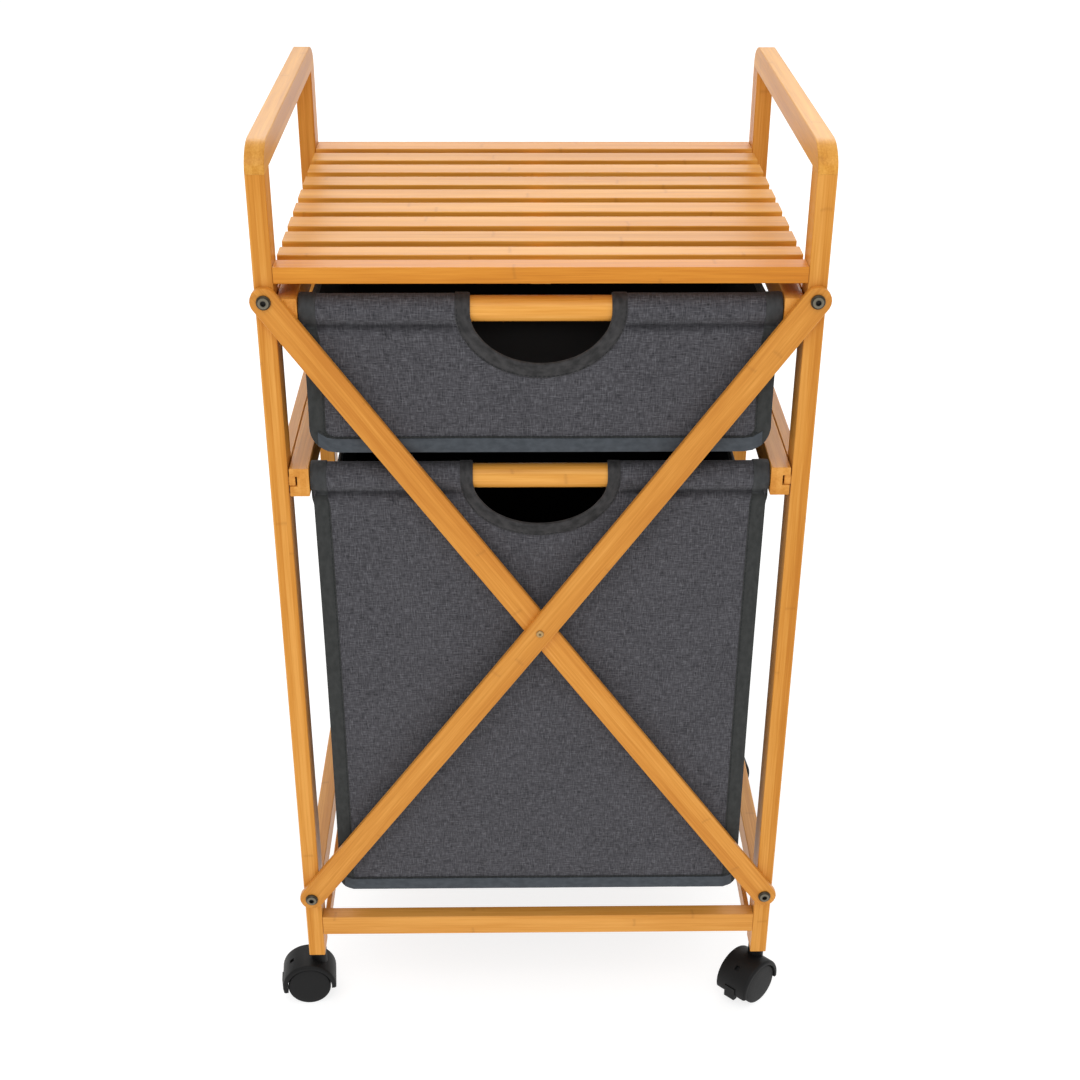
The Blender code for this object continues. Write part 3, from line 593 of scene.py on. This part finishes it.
def body_shares(panel):
    """Shares of the way down, close together near the casing's seam and near the bottom."""
    tall = panel.s_bottom - panel.s_axis
    places = spaced(0, 0.030, 15)
    places += spaced(0.030, tall - 0.012, max(6, int(tall / 0.012)))[1:]
    places += spaced(tall - 0.012, tall, 5)[1:]
    return [place / tall for place in places]


def tape(panel, name, path, width, material, lift, wrap, gather):
    """Binding tape along a path of (x, s, inward x, inward s) on the cloth.

    It lies width inward from the path on the outside, and turns over the edge to the inside.
    """
    top = CLOTH_THICKNESS / 2 + TAPE_THICKNESS + lift
    under = CLOTH_THICKNESS / 2 + 0.00005
    edge = 0.0009
    section = [(width, under), (width - 0.0002, top * 0.92), (width * 0.5, top), (0.0008, top)]
    section += [(-edge * 0.7, top * 0.8), (-edge, 0.0), (-edge, -wrap * 0.5), (-edge * 0.9, -wrap)]
    section += [(-0.0002, -wrap), (-0.0002, 0.0), (0.0004, under)]
    points, uvs = [], []
    along = 0.0
    previous = None
    for x, s, nx, ns in path:
        here = Vector((x, s))
        along += (here - previous).length if previous is not None else 0.0
        previous = here
        for k, (inward, rise) in enumerate(section):
            if rise > under:
                wave = gather * noise.noise(Vector((along * 190, inward * 90, panel.seed)))
            else:
                wave = 0.0
            points.append(panel.point(x + nx * inward, s + ns * inward, rise + wave))
            uvs.append((along, inward if k < 6 else -rise))
    return tube_piece(name, points, uvs, len(section), material)


def casing_end_path(panel, x, inward):
    return [(x, s, inward, 0.0) for s in spaced(panel.s_inner, panel.s_seam + 0.0015, 34)]


def cutout_path(panel):
    """Round the cut-out: over the casing at one side, along the curve, and back over the other."""
    half = CUTOUT_HALF_WIDTH
    over_casing = spaced(panel.s_inner, panel.s_axis, CASING_STEPS)
    path = [(-half, s, -1.0, 0.0) for s in over_casing]
    for angle in spaced(math.pi, 0, 64)[1:-1]:
        x = half * math.cos(angle)
        s = panel.s_axis + panel.drop * math.sin(angle)
        out = Vector((math.cos(angle) / half, math.sin(angle) / panel.drop)).normalized()
        path.append((x, s, out.x, out.y))
    return path + [(half, s, 1.0, 0.0) for s in reversed(over_casing)]


def side_path(panel, sign, start, stop):
    """Down one side, in short steps where the casing's seam pinches the cloth."""
    places = spaced(start, start + 0.020, 14)
    places += spaced(start + 0.020, stop, max(4, int((stop - start) / 0.010)))[1:]
    return [(sign * PANEL_HALF_WIDTH, s, -sign, 0.0) for s in places]


def rim_path(panel):
    """Down one side of the panel, round both bottom corners and up the other side."""
    turn = panel.s_bottom - panel.corner
    path = side_path(panel, -1, panel.s_seam - 0.001, turn)
    centre = PANEL_HALF_WIDTH - panel.corner
    for angle in spaced(math.pi, math.pi / 2, 10)[1:]:
        nx, ns = math.cos(angle), math.sin(angle)
        path.append((-centre + panel.corner * nx, turn + panel.corner * ns, -nx, -ns))
    path += [(x, panel.s_bottom, 0.0, -1.0) for x in spaced(-centre, centre, 40)[1:]]
    for angle in spaced(math.pi / 2, 0, 10)[1:]:
        nx, ns = math.cos(angle), math.sin(angle)
        path.append((centre + panel.corner * nx, turn + panel.corner * ns, -nx, -ns))
    return path + side_path(panel, 1, panel.s_seam - 0.001, turn)[::-1][1:]


def bottom_path(panel):
    """Along the bottom seam, and a little way up both rounded corners."""
    reach = PANEL_HALF_WIDTH - 0.3 * panel.corner
    places = spaced(-reach, reach, 48)
    return [(x, panel.s_bottom - panel.corner_rise(x), 0.0, -1.0) for x in places]


def stitches(panel, name, paths, material):
    """Short raised stitches along each (path, inward, lift)."""
    points, faces = [], []
    for path, inward, lift in paths:
        track = [(x + nx * inward, s + ns * inward) for x, s, nx, ns in path]
        lengths = [0.0]
        for a, b in zip(track, track[1:]):
            lengths.append(lengths[-1] + math.dist(a, b))
        place = STITCH_PITCH / 2
        k = 0
        while place < lengths[-1] - STITCH_LENGTH:
            while lengths[k + 1] < place:
                k += 1
            share = (place - lengths[k]) / max(1e-9, lengths[k + 1] - lengths[k])
            x = track[k][0] + (track[k + 1][0] - track[k][0]) * share
            s = track[k][1] + (track[k + 1][1] - track[k][1]) * share
            dx, ds = track[k + 1][0] - track[k][0], track[k + 1][1] - track[k][1]
            size = math.hypot(dx, ds)
            dx, ds = dx / size, ds / size
            first = len(points)
            for end in (-0.5, -0.3, 0.3, 0.5):
                thick = 0.00024 if abs(end) < 0.4 else 0.00010
                for across, up in ((-1, 0), (0, 1), (1, 0), (0, -1)):
                    px = x + dx * end * STITCH_LENGTH - ds * across * thick
                    ps = s + ds * end * STITCH_LENGTH + dx * across * thick
                    points.append(panel.point(px, ps, lift + up * thick * 0.9))
            for ring in range(3):
                for q in range(4):
                    a, b = first + ring * 4 + q, first + ring * 4 + (q + 1) % 4
                    faces.append((a, b, b + 4, a + 4))
            faces.append((first + 3, first + 2, first + 1, first))
            faces.append((first + 12, first + 13, first + 14, first + 15))
            place += STITCH_PITCH
    piece = mesh_piece(name, points, faces, None, (material,))
    fix_normals(piece)
    return piece


def side_dip(level, y):
    """How far a side panel's upper edge sags below its ends."""
    return SIDE_DIPS[level] * max(0.0, 1 - (y / SIDE_DIP_HALF) ** 2)


def free_share(y):
    """How free the gusset's cloth is at y, from 0 at the panels to 1 midway between them."""
    return 1 - (abs(y) / GUSSET_HALF_DEPTH) ** 4


def side_slack(level, y, z, share):
    """How far a side's cloth lies inward at y and z, where share is how far down the side that is."""
    slack = SIDE_SLACK * math.sin(math.pi * min(1.0, share + 0.15))
    ripple = SIDE_RIPPLE * noise.noise(Vector((y * 8, z * 7, GUSSET_SEEDS[level])))
    return free_share(y) * (slack + ripple)


def gusset(level, name, materials):
    """The strip of cloth that makes both sides and the bottom, with its length along the outline."""
    axis_z, floor_z = BAGS[level]
    top = axis_z - SIDE_TOP_DROP
    outline = []
    radius = CORNER_RADII[level]
    centre = PANEL_HALF_WIDTH - radius
    base = floor_z + radius
    tall = max(6, int((top - base) / 0.020))
    for z in spaced(top, base, tall):
        outline.append((-PANEL_HALF_WIDTH, z, 1.0, 0.0))
    for angle in spaced(math.pi, 1.5 * math.pi, 8)[1:]:
        c, s = math.cos(angle), math.sin(angle)
        outline.append((-centre + radius * c, base + radius * s, -c, -s))
    for x in spaced(-centre, centre, 24)[1:]:
        outline.append((x, floor_z, 0.0, 1.0))
    for angle in spaced(1.5 * math.pi, 2 * math.pi, 8)[1:]:
        c, s = math.cos(angle), math.sin(angle)
        outline.append((centre + radius * c, base + radius * s, -c, -s))
    for z in spaced(base, top, tall)[1:]:
        outline.append((PANEL_HALF_WIDTH, z, -1.0, 0.0))
    rows = spaced(-GUSSET_HALF_DEPTH, GUSSET_HALF_DEPTH, 36)
    points, uvs = [], []
    along = 0.0
    previous = None
    for x, z, nx, nz in outline:
        here = Vector((x, z))
        along += (here - previous).length if previous is not None else 0.0
        previous = here
        share = (top - z) / (top - floor_z)
        pull = PANEL_PULL_IN * math.sin(math.pi * max(0.0, min(1.0, share)))
        for y in rows:
            if abs(nx) > 0.5:
                depth = pull + side_slack(level, y, z, share)
                lowered = side_dip(level, y) * max(0.0, (z - base) / (top - base))
            else:
                depth = -free_share(y) * 0.0012 * (1 - (x / PANEL_HALF_WIDTH) ** 2)
                lowered = 0.0
            points.append(Vector((x + nx * depth, y, z + nz * depth - lowered)))
            uvs.append((y, along))
    faces = grid_faces(len(outline), len(rows))
    return thicken(mesh_piece(name, points, faces, uvs, materials)), along


def gusset_top_tape(level, name, sign, material):
    """Binding folded over the side panel's top edge."""
    axis_z, _ = BAGS[level]
    top = axis_z - SIDE_TOP_DROP
    half = CLOTH_THICKNESS / 2 + 0.0001
    out = half + TAPE_THICKNESS
    hem = -0.0085
    section = [(-out, hem), (-out, 0.0004), (-out * 0.5, 0.0010), (out * 0.5, 0.0010)]
    section += [(out, 0.0004), (out, hem), (half, hem), (half, -0.0001), (-half, -0.0001), (-half, hem)]
    points, uvs = [], []
    for y in spaced(-GUSSET_HALF_DEPTH, GUSSET_HALF_DEPTH, 40):
        inner = PANEL_HALF_WIDTH - side_slack(level, y, top, 0.0)
        for across, up in section:
            points.append(Vector((sign * (inner + across), y, top + up - side_dip(level, y))))
            uvs.append((y, up))
    return tube_piece(name, points, uvs, len(section), material)


def build_bag(level, cloth, lining, tapes, thread):
    """All the cloth of one bag, riding on its drawer in place of the plain solid."""
    binding, casing_binding, cutout_binding, bottom_binding_and_painted_sky = tapes
    body = f"{level}_drawer"
    axis_z, floor_z = BAGS[level]
    made = []
    for side, place in ((-1, "front"), (1, "rear")):
        panel = Panel(level, side)
        name = f"{level}_bag_{place}"
        sheet = panel_cloth(panel, f"{name}_panel", (cloth, lining))
        hole, rim, bottom = cutout_path(panel), rim_path(panel), bottom_path(panel)
        hole_width = CUTOUT_BINDINGS[level]
        left, right = [casing_end_path(panel, sign * PANEL_HALF_WIDTH, -sign) for sign in (-1, 1)]
        # Name, path, width, material, lift, wrap and gather of each tape
        rows = (
            ("casing_tape_left", left, CASING_BINDING, casing_binding, 0.0003, 0.0022, 0.0),
            ("casing_tape_right", right, CASING_BINDING, casing_binding, 0.0003, 0.0022, 0.0),
            ("cutout_tape", hole, hole_width, cutout_binding, 0.0002, 0.0018, 0.00080),
            ("rim_tape", rim, SIDE_BINDING, binding, 0.0, 0.0060, 0.00015),
            ("bottom_tape", bottom, BOTTOM_BINDING, bottom_binding_and_painted_sky, 0.0009, 0.0062, 0.0002),
        )
        extras = [tape(panel, f"{name}_{word}", *row) for word, *row in rows]
        places = spaced(-PANEL_HALF_WIDTH + 0.013, -CUTOUT_HALF_WIDTH - 0.006, 20)
        seam = [(x, panel.s_seam, 0.0, 1.0) for x in places]
        seam_right = [(-x, s, nx, ns) for x, s, nx, ns in reversed(seam)]
        face = CLOTH_THICKNESS / 2 + 0.0001
        over = face + TAPE_THICKNESS
        below_casing = hole[CASING_STEPS - 2 : 2 - CASING_STEPS]
        paths = [
            (seam, 0.0, face),
            (seam_right, 0.0, face),
            (rim, SIDE_BINDING - 0.0012, over),
            (bottom, BOTTOM_BINDING + 0.0016, over),
            (below_casing, hole_width - 0.0012, over + 0.0002),
        ]
        extras.append(stitches(panel, f"{name}_stitches", paths, thread))
        opening = 2 * CUTOUT_HALF_WIDTH * (panel.s_axis - panel.s_inner)
        opening += math.pi * CUTOUT_HALF_WIDTH * panel.drop / 2
        made += [sheet, *extras]
    strip, length = gusset(level, f"{level}_bag_gusset", (cloth, lining))
    top_tapes = [
        gusset_top_tape(level, f"{level}_bag_side_tape_{word}", sign, binding)
        for sign, word in ((-1, "left"), (1, "right"))
    ]
    made += [strip, *top_tapes]
    for piece in made:
        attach(piece, body)
    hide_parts(f"{level}_bag")


# ---------------------------------------------------------------- frame


def brace_direction(rising):
    """The direction of a brace's fibres, for 1 or -1, without the round ends."""
    low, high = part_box("brace_front")
    return Vector((rising * (high.x - low.x - 0.022), 0, high.z - low.z - 0.022))


def smooth_by_angle(degrees):
    """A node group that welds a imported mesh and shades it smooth, except across sharper edges."""
    group = bpy.data.node_groups.new("smooth_by_angle", "GeometryNodeTree")
    for direction in ("INPUT", "OUTPUT"):
        group.interface.new_socket("Geometry", in_out=direction, socket_type="NodeSocketGeometry")
    names = (
        "NodeGroupInput",
        "GeometryNodeMergeByDistance",
        "GeometryNodeSetShadeSmooth",
        "GeometryNodeSetShadeSmooth",
        "NodeGroupOutput",
    )
    entry, weld, faces, edges, leave = [group.nodes.new(name) for name in names]
    weld.inputs["Distance"].default_value = 0.00002
    edges.domain = "EDGE"
    angle = group.nodes.new("GeometryNodeInputMeshEdgeAngle")
    compare = group.nodes.new("FunctionNodeCompare")
    compare.operation = "LESS_EQUAL"
    compare.inputs[1].default_value = math.radians(degrees)
    group.links.new(angle.outputs[0], compare.inputs[0])
    group.links.new(compare.outputs[0], edges.inputs["Shade Smooth"])
    for first, second in ((entry, weld), (weld, faces), (faces, edges), (edges, leave)):
        group.links.new(first.outputs[0], second.inputs[0])
    return group


def dress_frame():
    along_x = bamboo_material("bamboo_along_x", (1, 0, 0))
    along_y = bamboo_material("bamboo_along_y", (0, 1, 0))
    legs = bamboo_material("bamboo_legs", (0, 0, 1), (0.94, 0.94, 0.96), gloss=0.12)
    # Painted light: the slat bamboo is raised a little in green so that its faces in the shaded gaps read
    # lighter.
    slats = bamboo_material("bamboo_slats_painted_light", (1, 0, 0), (1.0, 1.06, 0.99))
    dowels = bamboo_material("bamboo_dowels", (1, 0, 0), (1.08, 1.13, 1.18))
    # Painted light: the middle cross piece under the shelf is made much lighter, so that its top reads as
    # lit where it shows in the slat gaps.
    support = bamboo_material("bamboo_support_painted_light", (0, 1, 0), (1.18, 1.65, 2.0))
    honey = bamboo_material("bamboo_honey", (1, 0, 0), (0.98, 0.86, 0.46))
    handle = bamboo_material("bamboo_handle", (0, 1, 0), (1.0, 1.09, 1.06), layer_height=1.0)
    rising = bamboo_material("bamboo_rising", brace_direction(1))
    falling = bamboo_material("bamboo_falling", brace_direction(-1))
    plastic = plastic_material("caster_plastic", (0.006, 0.006, 0.0062), 0.52, 0.25)
    stem_steel = steel_material("stem_steel")
    shading = smooth_by_angle(32)
    for name, node in NODES.items():
        if name.startswith("leg_"):
            material = legs
        elif name == "brace_front":
            material = rising
        elif name == "brace_back":
            material = falling
        elif name.startswith(("brace_bolt", "brace_screw")):
            material = bolt_material(name)
        elif name.startswith("caster_stem"):
            material = stem_steel
        elif name.startswith(("caster_hood", "wheels", "brake_lever")):
            material = plastic
        elif name == "shelf_front_rail":
            material = honey
        elif name.startswith("handle_"):
            material = handle
        elif "dowel" in name:
            material = dowels
        elif name.startswith("shelf_slat"):
            material = slats
        elif name == "shelf_support_middle":
            material = support
        elif name.startswith(("shelf_rear", "bottom_rail")):
            material = along_x
        elif "bag" in name:
            continue
        else:
            material = along_y
        node.data.materials.clear()
        node.data.materials.append(material)
        node.modifiers.new("smooth_by_angle", "NODES").node_group = shading


# ---------------------------------------------------------------- stage, light, camera


def build_stage():
    n = Nodes("studio_floor")
    floor_material = n.set(
        Base_Color=(0.35, 0.35, 0.35),
        Roughness=0.9,
        Emission_Color=(1.0, 1.0, 1.0),
        Emission_Strength=0.78,
    )
    size = 40.0
    corners = [(-size, -size, 0), (size, -size, 0), (size, size, 0), (-size, size, 0)]
    floor = mesh_piece("studio_floor", corners, [(0, 1, 2, 3)], None, (floor_material,))
    world = bpy.data.worlds.new("studio")
    world.use_nodes = True
    background = world.node_tree.nodes["Background"]
    background.inputs["Color"].default_value = (1.0, 1.0, 1.0, 1.0)
    background.inputs["Strength"].default_value = 0.70
    bpy.context.scene.world = world


def area_light(name, place, target, size, power):
    light = bpy.data.lights.new(name, "AREA")
    light.shape = "RECTANGLE"
    light.size, light.size_y = size
    light.energy = power
    lamp = bpy.data.objects.new(name, light)
    lamp.location = place
    lamp.visible_camera = False
    lamp.rotation_euler = (Vector(target) - Vector(place)).to_track_quat("-Z", "Y").to_euler()
    bpy.context.scene.collection.objects.link(lamp)


def build_lights():
    area_light("top_softbox", (0.1, -0.2, 2.6), (0, 0, 0.5), (2.0, 2.0), 6)
    area_light("front_softbox", (-0.6, -4.2, 5.6), (0, 0, 0.45), (4.8, 3.6), 104)
    area_light("back_softbox", (0.0, 3.6, 2.9), (0, 0, 0.7), (4.0, 2.0), 76)


def build_camera():
    """The camera that was fitted to the frame's straight edges."""
    pitch, yaw, roll = math.radians(31.48), math.radians(1.15), math.radians(0.29)
    forward = Vector((math.sin(yaw) * math.cos(pitch), math.cos(yaw) * math.cos(pitch), -math.sin(pitch)))
    right = forward.cross(Vector((0, 0, 1))).normalized()
    up = right.cross(forward)
    turned_right = right * math.cos(roll) + up * math.sin(roll)
    turned_up = up * math.cos(roll) - right * math.sin(roll)
    data = bpy.data.cameras.new("camera")
    data.sensor_width = 36.0
    data.lens = 57.70
    data.shift_y = 0.148
    camera = bpy.data.objects.new("camera", data)
    axes = Matrix((turned_right, turned_up, -forward)).transposed().to_4x4()
    camera.matrix_world = Matrix.Translation((-0.02547, -1.48992, 1.13724)) @ axes
    bpy.context.scene.collection.objects.link(camera)
    bpy.context.scene.camera = camera


def main():
    bpy.context.scene.view_settings.view_transform = "Standard"
    build_camera()
    build_stage()
    build_lights()
    dress_frame()
    cloth = cloth_material(
        "bag_cloth", (0.022, 0.0215, 0.025), (0.101, 0.0985, 0.110), (0.182, 0.180, 0.196), 2.3
    )
    lining = plain_material("bag_lining", (0.0022, 0.0021, 0.0024), 0.9)
    binding = tape_material("binding_tape", (0.021, 0.023, 0.022), (0.034, 0.036, 0.035))
    casing_binding = tape_material("casing_tape", (0.028, 0.030, 0.031), (0.046, 0.048, 0.050))
    cutout_binding = tape_material("cutout_tape", (0.017, 0.0165, 0.017), (0.046, 0.044, 0.045))
    # The bottom tape is lighter and bluer than the other tapes: partly its own colour, partly painted
    # reflection of the sky above it.
    bottom_binding_and_painted_sky = tape_material("bottom_tape", (0.044, 0.052, 0.062), (0.064, 0.074, 0.086))
    thread = plain_material("thread", (0.020, 0.022, 0.024), 0.8)
    tapes = (binding, casing_binding, cutout_binding, bottom_binding_and_painted_sky)
    for level in BAGS:
        build_bag(level, cloth, lining, tapes, thread)
    bpy.context.view_layer.update()


main()
